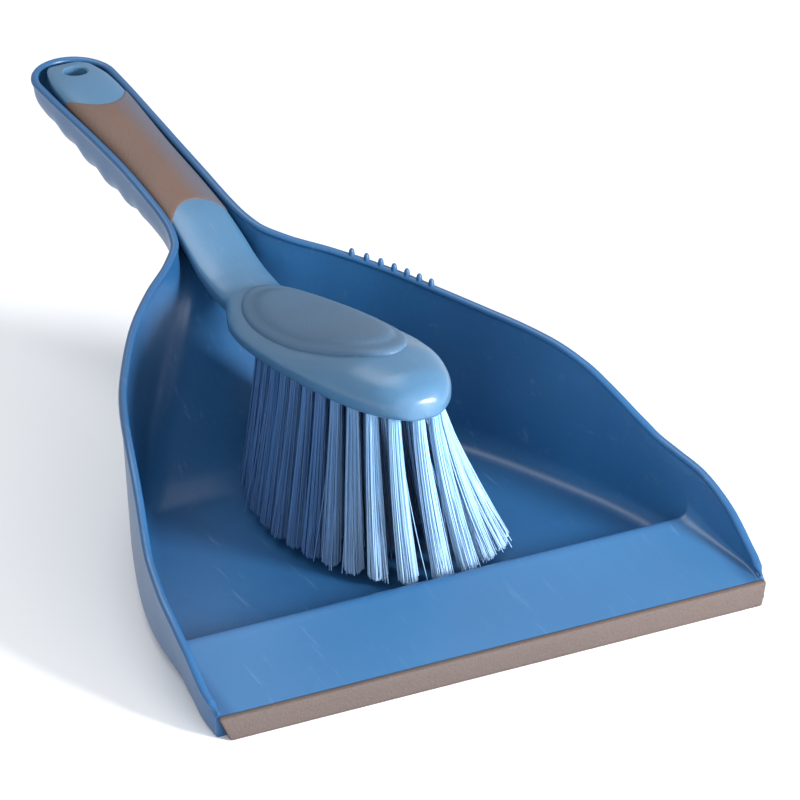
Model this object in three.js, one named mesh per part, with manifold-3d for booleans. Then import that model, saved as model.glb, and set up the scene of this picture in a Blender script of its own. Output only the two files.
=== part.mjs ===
// Hand dustpan with a nested hand brush.
// Millimetres, +Z up. X runs along the lip, +Y runs from the lip to the handle end.
// The origin is the middle of the bounding box footprint, on the ground.
import * as THREE from "three";
import { mergeVertices } from "three/addons/utils/BufferGeometryUtils.js";
import Module from "manifold-3d";

const wasm = await Module();
wasm.setup();

// ---------------------------------------------------------------- dimensions
const gap = 0.3; // clearance between pieces that seat on each other
const lipDepth = 4.6; // soft strip in front of the pan
const panLength = 360; // pan from its front edge to the handle end
const panHalf = 110; // half width at the front edge
const wall = 2.2; // moulded wall
const floorThick = 2.6;
const rampStart = 8.2; // ramp height at the front edge
const rampCrest = 14;
const rampCrestY = 45;
const rampFootY = 52;
const rimBead = 1.6; // radius of the rounded rim edge
const panHandleHalf = 16.6; // trough handle at its end, outside
const troughWaist = 14.6; // trough handle where it is narrowest, outside
const troughStartY = 246;
const hangHoleY = 343;
const hangHoleRadius = 4.5;
const combTeeth = 7;
const combPitch = 4.4;
const combStartY = 168;
const combHeight = 4;
const tongueLength = 1.6; // front tongue that the soft strip grips
const tongueThick = 1.4;
const tongueZ = 4;
const lipTopDepth = 2.6; // the strip is thickest along its top
const lipTipHeight = 0.6;
const lipTipThick = 1.6;
const lipCornerInset = 3; // its lower corners are drawn in
const hollowMargin = 17; // from the pan's side to the hollow under the ramp

const headNose = 52; // front end of the brush head
const headLength = 140;
const headHalf = 25.5;
const neckHalf = 12;
const brushEnd = 355.5;
const grip = { from: 243, to: 313, thick: 2.2, proud: 0.3, neckBow: 22, endBow: 33 };
const pad = { middle: 133, halfLength: 54, halfWidth: 20, rise: 2, sink: 2 };
const padTop = { halfLength: 46, halfWidth: 15.5, rise: 3.6 };

const tuftRootRadius = 2.1;
const tuftTipRadius = 3.7;
const tuftHoleDepth = 7;
const tuftFieldMiddle = 114;
const tuftRings = [
  { halfLength: 55, halfWidth: 20.6, count: 28, turn: 0 },
  { halfLength: 44.5, halfWidth: 10.4, count: 18, turn: 0.5 },
];
const tuftRowCount = 5;
const tuftRowPitch = 13;
const bristleTipZ = 4.6; // tips hang just over the pan floor
const tuftTipClear = 1.2;
const bristleFlare = 10; // outward spread of the outer ring at the tips
const bristleLean = 3; // the whole bristle field leans a little to +X
const bristleNoseLean = 6; // and more towards its front end
const bristleSplay = 11; // use has splayed the front right tufts outwards
const bristleSweep = 12; // and forwards

const endBead = rimBead * 0.3664; // how far the rim bead passes the handle end
const shiftY = (panLength + endBead - lipDepth) / 2; // puts the footprint middle on the origin

// ------------------------------------------------------------------- helpers
// Smooth monotone curve through [position, value] stations.
function curve(stations) {
  const xs = stations.map((s) => s[0]);
  const ys = stations.map((s) => s[1]);
  const n = xs.length;
  const slope = [];
  for (let i = 0; i < n - 1; i++) slope.push((ys[i + 1] - ys[i]) / (xs[i + 1] - xs[i]));
  const tangent = ys.map((_, i) => {
    if (i === 0) return slope[0];
    if (i === n - 1) return slope[n - 2];
    if (slope[i - 1] * slope[i] <= 0) return 0;
    return (2 * slope[i - 1] * slope[i]) / (slope[i - 1] + slope[i]);
  });
  return (x) => {
    if (x <= xs[0]) return ys[0];
    if (x >= xs[n - 1]) return ys[n - 1];
    let i = 0;
    while (x > xs[i + 1]) i++;
    const h = xs[i + 1] - xs[i];
    const t = (x - xs[i]) / h;
    const a = 2 * t ** 3 - 3 * t ** 2 + 1;
    const b = t ** 3 - 2 * t ** 2 + t;
    const c = -2 * t ** 3 + 3 * t ** 2;
    const d = t ** 3 - t ** 2;
    return a * ys[i] + b * h * tangent[i] + c * ys[i + 1] + d * h * tangent[i + 1];
  };
}

// Closed body through equal-length loops of [x, y, z] points, each end closed to its middle.
function loft(loops) {
  const n = loops[0].length;
  const rows = loops.length;
  const points = loops.flat(2);
  const faces = [];
  for (let k = 0; k < rows - 1; k++) {
    for (let i = 0; i < n; i++) {
      const a = k * n + i;
      const b = k * n + ((i + 1) % n);
      faces.push(a, b, b + n, a, b + n, a + n);
    }
  }
  for (const [row, first] of [[0, true], [rows - 1, false]]) {
    const middle = [0, 1, 2].map((k) => loops[row].reduce((sum, p) => sum + p[k], 0) / n);
    const m = points.length / 3;
    points.push(...middle);
    for (let i = 0; i < n; i++) {
      const a = row * n + i;
      const b = row * n + ((i + 1) % n);
      if (first) faces.push(m, b, a);
      else faces.push(m, a, b);
    }
  }
  const make = (order) =>
    new wasm.Manifold(
      new wasm.Mesh({
        numProp: 3,
        vertProperties: new Float32Array(points),
        triVerts: new Uint32Array(order),
      }),
    );
  const body = make(faces);
  return body.volume() > 0 ? body : make([...faces].reverse());
}

function fromGeometry(geometry) {
  const g = geometry.clone();
  g.deleteAttribute("normal");
  g.deleteAttribute("uv");
  const merged = mergeVertices(g, 1e-4);
  return new wasm.Manifold(
    new wasm.Mesh({
      numProp: 3,
      vertProperties: new Float32Array(merged.attributes.position.array),
      triVerts: new Uint32Array(merged.index.array),
    }),
  );
}

function toGeometry(body) {
  const mesh = body.getMesh();
  const geometry = new THREE.BufferGeometry();
  const flat = new Float32Array((mesh.vertProperties.length / mesh.numProp) * 3);
  for (let i = 0; i < flat.length / 3; i++) {
    for (let k = 0; k < 3; k++) flat[3 * i + k] = mesh.vertProperties[i * mesh.numProp + k];
  }
  geometry.setAttribute("position", new THREE.BufferAttribute(flat, 3));
  geometry.setIndex(new THREE.BufferAttribute(new Uint32Array(mesh.triVerts), 1));
  geometry.translate(0, -shiftY, 0);
  geometry.computeVertexNormals();
  return geometry;
}

function box(x0, x1, y0, y1, z0, z1) {
  const g = new THREE.BoxGeometry(x1 - x0, y1 - y0, z1 - z0);
  g.translate((x0 + x1) / 2, (y0 + y1) / 2, (z0 + z1) / 2);
  return fromGeometry(g);
}

function uprightCylinder(x, y, z0, z1, radius, sides) {
  const g = new THREE.CylinderGeometry(radius, radius, z1 - z0, sides);
  g.rotateX(Math.PI / 2);
  g.translate(x, y, (z0 + z1) / 2);
  return fromGeometry(g);
}

function ovalPrism(middleY, halfLength, halfWidth, z0, z1, sides) {
  const shape = new THREE.Shape();
  for (let i = 0; i < sides; i++) {
    const a = (2 * Math.PI * i) / sides;
    const x = halfWidth * Math.cos(a);
    const y = middleY + halfLength * Math.sin(a);
    if (i === 0) shape.moveTo(x, y);
    else shape.lineTo(x, y);
  }
  const g = new THREE.ExtrudeGeometry(shape, { depth: z1 - z0, bevelEnabled: false });
  g.translate(0, 0, z0);
  return fromGeometry(g);
}

// Prism along X from a [y, z] outline.
function sidePrism(outline, x0, x1) {
  const shape = new THREE.Shape(outline.map(([y, z]) => new THREE.Vector2(y, z)));
  const g = new THREE.ExtrudeGeometry(shape, { depth: x1 - x0, bevelEnabled: false });
  // the outline lies in (x, y) and is pushed along z: turn it to (y, z) pushed along x
  g.applyMatrix4(new THREE.Matrix4().set(0, 0, 1, x0, 1, 0, 0, 0, 0, 1, 0, 0, 0, 0, 0, 1));
  return fromGeometry(g);
}

// ----------------------------------------------------------------- pan shape
const rimHalf = curve([
  [0, panHalf], [10, panHalf + 1.2], [24, panHalf + 1], [42, panHalf - 0.4],
  [58, panHalf - 3.7], [70, panHalf - 6.8], [80, 100], [90, 96.7], [101, 93.2], [117, 87.8],
  [131, 82.6], [147, 75.6], [163, 66.8], [184, 53], [200, 38.7], [212, 25.6], [222, 18],
  [234, 15.4], [troughStartY, troughWaist + 0.2], [270, troughWaist], [300, 15.3],
  [330, panHandleHalf - 0.2], [344, panHandleHalf], [panLength, panHandleHalf],
]);
const rimHeight = curve([
  [0, rampStart + 1.2], [4, 11.6], [10, 15], [24, 24], [42, 31.2], [58, 34.6], [66, 36.4],
  [74, 40], [90, 48.3], [101, 53], [117, 56.8], [131, 58.2], [147, 59.4], [163, 61.6],
  [184, 65.6], [200, 69.4], [212, 72.6], [222, 75.4], [234, 78], [troughStartY, 80],
  [270, 83.4], [300, 86.2], [330, 88.4], [panLength, 90.5],
]);
const baseHalf = curve([
  [0, panHalf], [10, panHalf - 0.6], [28, panHalf - 4], [42, panHalf - 6.5],
  [58, panHalf - 7.6], [70, 100.6], [85, 97], [101, 91.5], [120, 84], [136, 77], [150, 70],
  [165, 60], [184, 47], [200, 32.5], [212, 21], [222, 15.8], [234, 14],
  [troughStartY, troughWaist - 1], [270, troughWaist - 1.2], [300, 14],
  [330, panHandleHalf - 1.6], [panLength, panHandleHalf - 1.6],
]);
const underside = curve([
  [0, 0], [154, 0], [166, 3], [184, 17], [204, 36], [220, 51], [234, 60.6],
  [troughStartY, 64], [256, 65], [270, 65.2], [285, 66.2], [300, 68], [315, 70.6],
  [330, 73.6], [346, 77.2], [panLength, 82],
]);
const cornerSize = curve([
  [0, 1], [30, 4], [60, 8], [120, 10], [190, 11], [troughStartY, 10], [panLength, 9],
]);
const fingerWave = (y) => {
  const inside = Math.min(Math.max((y - 256) / 10, 0), 1) * Math.min(Math.max((340 - y) / 10, 0), 1);
  return inside * 0.8 * (1 - Math.cos((2 * Math.PI * (y - 256)) / 17));
};
const handleRound = (y, end, half) => {
  const start = end - half;
  if (y <= start) return 1;
  return Math.sqrt(Math.max(1 - ((y - start) / half) ** 2, 0.02));
};
const rampTop = curve([
  [0, rampStart], [rampCrestY - 3, rampCrest - 0.6], [rampCrestY, rampCrest],
  [rampCrestY + 1.5, rampCrest - 0.8], [rampFootY - 1, floorThick + 1],
  [rampFootY + 1, floorThick], [400, floorThick],
]);

function uSection(y, halfRim, halfBase, zRim, zBase, corner) {
  const side = (s) => {
    const dx = halfRim - halfBase;
    const dz = zRim - zBase;
    const run = Math.hypot(dx, dz);
    const c = Math.min(corner, run * 0.6, halfBase * 0.8);
    const end = [halfBase + (dx / run) * c, zBase + (dz / run) * c];
    const points = [];
    const steps = 4;
    for (let i = 0; i <= steps; i++) {
      const t = i / steps;
      const x = (1 - t) ** 2 * (halfBase - c) + 2 * t * (1 - t) * halfBase + t ** 2 * end[0];
      const z = (1 - t) ** 2 * zBase + 2 * t * (1 - t) * zBase + t ** 2 * end[1];
      points.push([s * x, y, z]);
    }
    points.push([s * halfRim, y, zRim]);
    return points;
  };
  return [...side(1), ...side(-1).reverse()];
}

function panStations(from, to) {
  const marks = [0, 2, 4, 7, 10, 16, 24, 33, 42, 45, 46.5, 49, 51, 53, 60, 66, 72, 79, 87];
  for (let y = 94; y <= 150; y += 8) marks.push(y);
  for (let y = 156; y <= 250; y += 8) marks.push(y);
  for (let y = 256; y < 340; y += 4.25) marks.push(y);
  for (const part of [0, 0.3, 0.5, 0.7, 0.84, 0.93, 0.98]) {
    marks.push(to - 18 + 18 * part);
  }
  const kept = marks.filter((y) => y > from + 0.5 && y < to - 0.1);
  return [from, ...kept, to].sort((a, b) => a - b);
}

const outerPan = loft(
  panStations(0, panLength).map((y) => {
    const round = handleRound(y, panLength, panHandleHalf);
    const lift = (1 - round) * 5;
    const z0 = underside(y) + fingerWave(y) + lift;
    return uSection(y, rimHalf(y) * round, baseHalf(y) * round, rimHeight(y), z0, cornerSize(y) * round);
  }),
);

const innerEnd = panLength - wall;
const innerPan = loft(
  panStations(-3, innerEnd).map((y) => {
    const round = handleRound(y, innerEnd, panHandleHalf - wall);
    const yy = Math.max(y, 0);
    const floorZ = Math.max(underside(yy) + floorThick, rampTop(yy)) + (1 - round) * 5;
    const lean = (rimHalf(yy) - baseHalf(yy)) / (rimHeight(yy) - underside(yy));
    const top = rimHeight(yy) + 12;
    const halfTop = (rimHalf(yy) - wall + lean * 12) * round;
    const halfFloor = (baseHalf(yy) - wall + lean * (floorZ - underside(yy))) * round;
    return uSection(y, halfTop, halfFloor, top, floorZ, Math.max(cornerSize(yy) - 1, 1) * round);
  }),
);

// Hollow under the ramp, open to the ground.
const rampHollow = sidePrism(
  [
    [4, -1], [4, rampStart - floorThick], [rampCrestY - 3, rampCrest - floorThick - 1],
    [rampCrestY, rampCrest - floorThick - 1.2], [rampFootY - 5, -1],
  ],
  -panHalf + hollowMargin,
  panHalf - hollowMargin,
);

// Rounded bead along the whole rim, round the handle end.
function rimTube() {
  const side = [];
  for (const y of panStations(1.5, panLength - 0.8)) {
    const round = handleRound(y, panLength, panHandleHalf);
    side.push([Math.max(rimHalf(y) * round - wall / 2, 0.6), y, rimHeight(y) - 0.5]);
  }
  const path = [...side, ...side.map(([x, y, z]) => [-x, y, z]).reverse()];
  const sides = 6;
  const points = path.map((p) => new THREE.Vector3(...p));
  const loops = points.map((p, i) => {
    const before = points[Math.max(i - 1, 0)];
    const after = points[Math.min(i + 1, points.length - 1)];
    const along = after.clone().sub(before).normalize();
    const across = new THREE.Vector3().crossVectors(new THREE.Vector3(0, 0, 1), along).normalize();
    const upward = new THREE.Vector3().crossVectors(along, across);
    const loop = [];
    for (let k = 0; k < sides; k++) {
      const a = (2 * Math.PI * (k + 0.5)) / sides;
      const q = p.clone().addScaledVector(across, rimBead * Math.cos(a));
      q.addScaledVector(upward, rimBead * 0.8 * Math.sin(a));
      loop.push([q.x, q.y, q.z]);
    }
    return loop;
  });
  return loft(loops);
}

// Small comb teeth standing on the right rear rim.
function combTooth(y) {
  const x = rimHalf(y) - wall / 2;
  const z = rimHeight(y) - 1.5;
  const g = new THREE.CylinderGeometry(0.9, 1.4, combHeight + 1.5, 8);
  g.rotateX(Math.PI / 2);
  g.translate(x, y, z + (combHeight + 1.5) / 2);
  return fromGeometry(g);
}

const tongue = box(
  -panHalf + 4, panHalf - 4, -tongueLength, 1.5, tongueZ, tongueZ + tongueThick,
);
let panShell = outerPan.subtract(innerPan).subtract(rampHollow).add(rimTube()).add(tongue);
for (let i = 0; i < combTeeth; i++) {
  panShell = panShell.add(combTooth(combStartY + i * combPitch));
}
panShell = panShell.subtract(uprightCylinder(0, hangHoleY, 50, 90, hangHoleRadius, 24));

// --------------------------------------------------------------- front strip
const lipSides = new THREE.Shape([
  new THREE.Vector2(-panHalf + 0.6, rampStart + 1), new THREE.Vector2(-panHalf + 0.6, rampStart),
  new THREE.Vector2(-panHalf + 0.6 + lipCornerInset, 0),
  new THREE.Vector2(-panHalf + 0.6 + lipCornerInset, -1),
  new THREE.Vector2(panHalf - 0.6 - lipCornerInset, -1),
  new THREE.Vector2(panHalf - 0.6 - lipCornerInset, 0),
  new THREE.Vector2(panHalf - 0.6, rampStart), new THREE.Vector2(panHalf - 0.6, rampStart + 1),
]);
const lipTrim = new THREE.ExtrudeGeometry(lipSides, { depth: lipDepth + 2, bevelEnabled: false });
lipTrim.rotateX(Math.PI / 2);
lipTrim.translate(0, 1, 0);
const lipBlade = sidePrism(
  [
    [-gap, 2.4], [-gap, rampStart], [-lipTopDepth + 0.6, rampStart],
    [-lipTopDepth, rampStart - 0.6], [-lipDepth, lipTipHeight], [-lipDepth + 0.4, 0],
    [-lipDepth + lipTipThick, 0],
  ],
  -panHalf,
  panHalf,
).intersect(fromGeometry(lipTrim)).subtract(
  box(
    -panHalf + 4 - gap, panHalf - 4 + gap, -tongueLength - gap, 1,
    tongueZ - gap, tongueZ + tongueThick + gap,
  ),
);

// --------------------------------------------------------------- brush shape
const headEnd = headNose + headLength;
const headTop = curve([
  [headNose, 78.5], [53.5, 82], [58, 86], [66, 88.4], [78, 88.6], [100, 84.4], [120, 79],
  [140, 74.4], [160, 70.8], [180, 68.4], [193, 67.4], [201, 67.8], [210, 69.4], [222, 73.6],
  [237, 78.8], [260, 83.6], [290, 88.2], [318, 91.6], [337, 93], [348, 92.4], [353, 90.8],
  [brushEnd, 87.6],
]);
const headUnder = curve([
  [headNose, 74.4], [60, 73.4], [100, 69.6], [130, 65.4], [150, 62.6], [165, 60.2],
  [180, 57.6], [192, 55.2], [200, 54.8], [212, 57.6], [225, 63.4], [240, 68.4], [254, 70.4],
  [270, 71.4], [300, 74.2], [330, 79.2], [348, 83.2], [brushEnd, 86],
]);
function headHalfWidth(y) {
  const middle = headNose + headLength / 2;
  const t = Math.min(Math.abs((y - middle) / (headLength / 2)), 1);
  const oval = headHalf * Math.max(1 - t ** 2.3, 0.008) ** (1 / 2.3);
  const handle = curve([
    [headEnd - 20, neckHalf - 1], [headEnd, neckHalf], [212, neckHalf + 0.2],
    [230, neckHalf - 0.2], [250, 11.2], [280, 11.2], [300, 11.8], [322, 12.4], [336, 12],
    [348, 9.6], [353.8, 6], [brushEnd, 2.5],
  ]);
  if (y < middle) return oval;
  // rounded meeting of the oval and the neck
  const h = handle(y);
  const soft = 6;
  const mix = Math.max(soft - Math.abs(oval - h), 0) / soft;
  return Math.max(oval, h) + (mix * mix * soft) / 4;
}
const widest = (y) => {
  const t = Math.min(Math.max((y - headEnd + 22) / 30, 0), 1);
  const headLine = headUnder(y) + Math.min(5, (headTop(y) - headUnder(y)) * 0.45);
  const handleLine = (headTop(y) + headUnder(y)) / 2 + 3;
  return headLine * (1 - t) + handleLine * t;
};
const underPower = curve([[headNose, 4], [headEnd - 22, 4], [headEnd + 8, 2.3], [brushEnd, 2.3]]);

// One slice of the brush body. `inset` shrinks it all round, `raise` lifts only the top.
function brushSection(y, inset, raise) {
  const sides = 24;
  const w = Math.max(headHalfWidth(y) - inset, 0.8);
  const m = widest(y);
  const up = Math.max(headTop(y) + raise - inset - m, 0.5);
  const down = Math.max(m - headUnder(y) - inset, 0.5);
  const loop = [];
  for (let i = 0; i < sides; i++) {
    const a = (2 * Math.PI * i) / sides;
    const c = Math.cos(a);
    const s = Math.sin(a);
    const power = s >= 0 ? 2.25 : underPower(y);
    const x = w * Math.sign(c) * Math.abs(c) ** (2 / power);
    const z = m + (s >= 0 ? up : down) * Math.sign(s) * Math.abs(s) ** (2 / power);
    loop.push([x, y, z]);
  }
  return loop;
}

function brushForm(inset, raise) {
  const marks = [0, 0.3, 1.2, 3, 6, 10, 16].map((d) => headNose + d);
  for (let y = headNose + 24; y < headEnd - 26; y += 10) marks.push(y);
  for (let y = headEnd - 24; y < 250; y += 6) marks.push(y);
  for (let y = 254; y < 336; y += 12) marks.push(y);
  for (const d of [16, 11, 7, 4, 1.8, 0.5, 0]) marks.push(brushEnd - d);
  return loft(marks.map((y) => brushSection(y, inset, raise)));
}

const form = brushForm(0, 0);
const core = brushForm(grip.thick, 0);

// Plan outline of the grip: its sides reach further than its middle at both ends.
function gripPrism(spare) {
  const wide = 20;
  const low = grip.from - spare;
  const high = grip.to + spare;
  const shape = new THREE.Shape();
  shape.moveTo(-wide, low - grip.neckBow);
  shape.quadraticCurveTo(0, low + grip.neckBow, wide, low - grip.neckBow);
  shape.lineTo(wide, high + grip.endBow);
  shape.quadraticCurveTo(0, high - grip.endBow, -wide, high + grip.endBow);
  shape.closePath();
  const options = { depth: 60, bevelEnabled: false, curveSegments: 8 };
  const g = new THREE.ExtrudeGeometry(shape, options);
  g.translate(0, 0, 55);
  return fromGeometry(g);
}

const padPocket = ovalPrism(pad.middle, pad.halfLength + gap, pad.halfWidth + gap, 55, 110, 28);
const padOval = ovalPrism(pad.middle, pad.halfLength, pad.halfWidth, 55, 110, 28);
const padUpper = ovalPrism(pad.middle, padTop.halfLength, padTop.halfWidth, 55, 110, 28);

let brushBody = form.subtract(gripPrism(gap).subtract(core));
brushBody = brushBody.subtract(padPocket.subtract(brushForm(0, -pad.sink)));
brushBody = brushBody.subtract(uprightCylinder(0, hangHoleY, 60, 110, hangHoleRadius, 24));

const handleGrip = brushForm(-grip.proud, 0)
  .intersect(gripPrism(0))
  .subtract(brushForm(grip.thick - gap, 0));
const headPad = padOval
  .intersect(brushForm(0, pad.rise))
  .add(padUpper.intersect(brushForm(0, padTop.rise)))
  .subtract(brushForm(0, -pad.sink + gap));

// -------------------------------------------------------------------- tufts
const tuftPlaces = [];
for (const ring of tuftRings) {
  // equal steps along the oval
  const fine = [];
  const steps = 720;
  let run = 0;
  for (let i = 0; i <= steps; i++) {
    const a = -Math.PI / 2 + (2 * Math.PI * i) / steps;
    const x = ring.halfWidth * Math.cos(a);
    const y = tuftFieldMiddle + ring.halfLength * Math.sin(a);
    if (i > 0) run += Math.hypot(x - fine[i - 1][0], y - fine[i - 1][1]);
    fine.push([x, y, run]);
  }
  for (let k = 0; k < ring.count; k++) {
    const want = (run * (k + ring.turn)) / ring.count;
    const at = fine.find((p) => p[2] >= want - 1e-6);
    tuftPlaces.push([at[0], at[1]]);
  }
}
for (let k = 0; k < tuftRowCount; k++) {
  tuftPlaces.push([0, tuftFieldMiddle + (k - (tuftRowCount - 1) / 2) * tuftRowPitch]);
}

const tuftSeat = (y) => headUnder(y);
const tuftDepth = (x, y) => {
  const across = Math.min(Math.abs(x) / headHalfWidth(y), 1);
  const m = widest(y);
  const roof = m + (headTop(y) - pad.sink - m) * (1 - across ** 2.25) ** (1 / 2.25);
  return Math.min(tuftHoleDepth, roof - tuftSeat(y) - 2);
};

// Where a tuft ends: spread outwards, leaning to +X, and splayed at the front right.
function tuftTip(x, y) {
  const across = x / tuftRings[0].halfWidth;
  const along = (y - tuftFieldMiddle) / tuftRings[0].halfLength;
  const front = Math.min(Math.max(-along, 0), 1);
  const splay = Math.max(across, 0) * Math.sin(Math.PI * Math.min(front, 0.98));
  const tipX = x + across * bristleFlare + bristleLean + front * bristleNoseLean;
  const tipY = y + Math.max(along, 0) * 5 - front * 2;
  return [tipX + splay * bristleSplay, tipY - splay * bristleSweep];
}

function tuft(x, y) {
  const sides = 6;
  const seat = tuftSeat(y);
  const top = seat + tuftDepth(x, y) - gap;
  const [tipX, tipY] = tuftTip(x, y);
  // the rear tufts end on the rising back of the pan
  const tipZ = Math.max(bristleTipZ, underside(tipY + tuftTipRadius) + floorThick + tuftTipClear);
  const drop = seat - tipZ;
  const levels = [
    [top, 0, tuftRootRadius],
    [seat - 2, 0, tuftRootRadius],
    [seat - 0.33 * drop, 0.3, tuftRootRadius + 0.7],
    [seat - 0.68 * drop, 0.68, tuftTipRadius - 0.3],
    [tipZ + 3, 0.97, tuftTipRadius],
    [tipZ, 1, tuftTipRadius * 0.6],
  ];
  return loft(
    levels.map(([z, t, r]) => {
      const loop = [];
      for (let k = 0; k < sides; k++) {
        const a = (2 * Math.PI * k) / sides + Math.PI / 2;
        loop.push([x + (tipX - x) * t + r * Math.cos(a), y + (tipY - y) * t + r * Math.sin(a), z]);
      }
      return loop;
    }),
  );
}

for (const [x, y] of tuftPlaces) {
  const seat = tuftSeat(y);
  const hole = uprightCylinder(
    x, y, seat - 20, seat + tuftDepth(x, y), tuftRootRadius + gap, 6,
  );
  brushBody = brushBody.subtract(hole);
}

// --------------------------------------------------------------------- group
const plasticBlue = new THREE.MeshStandardMaterial({ color: 0x4a7cab, roughness: 0.4 });
const softStrip = new THREE.MeshStandardMaterial({ color: 0xa89592, roughness: 0.7 });
const softGrip = new THREE.MeshStandardMaterial({ color: 0x7d7370, roughness: 0.75 });
const softPad = new THREE.MeshStandardMaterial({ color: 0x6d8795, roughness: 0.7 });
const bristle = new THREE.MeshStandardMaterial({ color: 0x7fb0dc, roughness: 0.45 });

const group = new THREE.Group();
function addPiece(name, body, material) {
  // merges slivers left by the cuts and keeps the one real body
  const bodies = body.simplify(0.02).decompose();
  bodies.sort((a, b) => b.volume() - a.volume());
  const mesh = new THREE.Mesh(toGeometry(bodies[0]), material);
  mesh.name = name;
  group.add(mesh);
}
addPiece("pan_shell", panShell, plasticBlue);
addPiece("lip_blade", lipBlade, softStrip);
addPiece("brush_body", brushBody, plasticBlue);
addPiece("handle_grip", handleGrip, softGrip);
addPiece("head_pad", headPad, softPad);
tuftPlaces.forEach(([x, y], i) => {
  addPiece("tuft_" + String(i + 1).padStart(2, "0"), tuft(x, y), bristle);
});

export default group;
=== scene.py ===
# %% [markdown]
# # A hand dustpan with its brush
# The object is a moulded dustpan with a soft front lip, and a hand brush that lies in it with its
# handle in the pan's trough handle. The CAD model gives every size and place, so this script only
# makes the looks: smooth mouldings, soft rubber parts and real bristles, all in the CAD frame.

# %% Load the frame
import math

import bmesh
import bpy
import numpy as np
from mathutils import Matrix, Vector


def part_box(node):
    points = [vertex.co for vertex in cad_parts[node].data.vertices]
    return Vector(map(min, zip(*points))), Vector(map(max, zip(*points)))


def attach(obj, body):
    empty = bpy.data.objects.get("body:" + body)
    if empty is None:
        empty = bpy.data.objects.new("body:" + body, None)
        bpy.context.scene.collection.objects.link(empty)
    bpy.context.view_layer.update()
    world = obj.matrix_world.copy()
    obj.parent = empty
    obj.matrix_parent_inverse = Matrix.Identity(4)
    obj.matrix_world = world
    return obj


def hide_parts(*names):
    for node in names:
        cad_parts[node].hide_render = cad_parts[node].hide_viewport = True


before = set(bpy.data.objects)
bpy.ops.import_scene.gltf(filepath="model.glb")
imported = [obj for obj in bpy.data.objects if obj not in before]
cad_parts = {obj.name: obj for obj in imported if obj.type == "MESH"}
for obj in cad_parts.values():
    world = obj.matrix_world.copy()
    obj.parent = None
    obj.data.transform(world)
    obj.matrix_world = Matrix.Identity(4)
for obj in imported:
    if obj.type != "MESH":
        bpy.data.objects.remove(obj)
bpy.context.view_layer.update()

MM = 0.001
LIP_DEPTH = 4.6
# design lengths are counted from the pan's front edge, so the CAD lip tells where that edge is
FRONT_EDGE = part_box("lip_blade")[0].y + LIP_DEPTH * MM

# %% [markdown]
# ## Small helpers
# A moulding like this is described by a few heights and widths along its length, with a smooth
# curve through them. A monotone cubic is used because it never overshoots between two stations,
# so a flat floor stays flat. A piece is then a stack of closed loops with faces between them.

# %% Smooth curve through stations
def through(*stations):
    xs = np.array([s[0] for s in stations], float)
    ys = np.array([s[1] for s in stations], float)
    slope = np.diff(ys) / np.diff(xs)
    tangent = np.zeros_like(ys)
    tangent[0], tangent[-1] = slope[0], slope[-1]
    for i in range(1, len(xs) - 1):
        a, b = slope[i - 1], slope[i]
        tangent[i] = 0.0 if a * b <= 0 else 2 * a * b / (a + b)

    def value(x):
        x = min(max(x, xs[0]), xs[-1])
        i = min(int(np.searchsorted(xs, x, side="right")) - 1, len(xs) - 2)
        h = xs[i + 1] - xs[i]
        t = (x - xs[i]) / h
        return (
            (2 * t**3 - 3 * t**2 + 1) * ys[i]
            + (t**3 - 2 * t**2 + t) * h * tangent[i]
            + (3 * t**2 - 2 * t**3) * ys[i + 1]
            + (t**3 - t**2) * h * tangent[i + 1]
        )

    return value


def clamp(x, low=0.0, high=1.0):
    return min(max(x, low), high)


# %% Turn design points into a mesh object
def to_frame(p):
    return (p[0] * MM, p[1] * MM + FRONT_EDGE, p[2] * MM)


def mesh_object(name, points, faces, smooth_angle=35):
    mesh = bpy.data.meshes.new(name)
    mesh.from_pydata([to_frame(p) for p in points], [], faces)
    work = bmesh.new()
    work.from_mesh(mesh)
    bmesh.ops.remove_doubles(work, verts=work.verts, dist=0.00001)
    bmesh.ops.dissolve_degenerate(work, edges=work.edges, dist=0.000005)
    bmesh.ops.recalc_face_normals(work, faces=work.faces)
    work.to_mesh(mesh)
    work.free()
    piece = bpy.data.objects.new(name, mesh)
    bpy.context.scene.collection.objects.link(piece)
    finish_shading(piece, smooth_angle)
    return piece


def finish_shading(piece, smooth_angle):
    mesh = piece.data
    mesh.shade_smooth()
    work = bmesh.new()
    work.from_mesh(mesh)
    for edge in work.edges:
        edge.smooth = len(edge.link_faces) == 2 and edge.calc_face_angle(0) < math.radians(smooth_angle)
    work.to_mesh(mesh)
    work.free()


def stacked(name, loops, smooth_angle=35, last_cap=True):
    n = len(loops[0])
    points = [p for loop in loops for p in loop]
    faces = []
    for k in range(len(loops) - 1):
        for i in range(n):
            j = (i + 1) % n
            faces.append((k * n + i, k * n + j, (k + 1) * n + j, (k + 1) * n + i))
    faces.append(tuple(range(n)))
    if last_cap:
        faces.append(tuple(range((len(loops) - 1) * n, len(loops) * n)))
    return mesh_object(name, points, faces, smooth_angle)


def cut(piece, cutter):
    modifier = piece.modifiers.new("cut", "BOOLEAN")
    modifier.operation = "DIFFERENCE"
    modifier.solver = "EXACT"
    modifier.object = cutter
    evaluated = piece.evaluated_get(bpy.context.evaluated_depsgraph_get())
    mesh = bpy.data.meshes.new_from_object(evaluated)
    piece.modifiers.clear()
    piece.data = mesh
    bpy.data.objects.remove(cutter)
    finish_shading(piece, 35)


def flared_hole(x, y, z_low, z_high, radius, flare):
    """A round cutter whose ends open out, so the cut gets a softened edge at both faces."""
    loops = []
    steps = 48
    profile = [(z_low - 6, flare * 4), (z_low, flare), (z_low + flare, 0), (z_high - flare, 0)]
    profile += [(z_high, flare), (z_high + 6, flare * 4)]
    for z, grow in profile:
        r = radius + grow
        loop = []
        for k in range(steps):
            a = 2 * math.pi * k / steps
            loop.append((x + r * math.cos(a), y + r * math.sin(a), z))
        loops.append(loop)
    return stacked("hole_cutter", loops)


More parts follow.
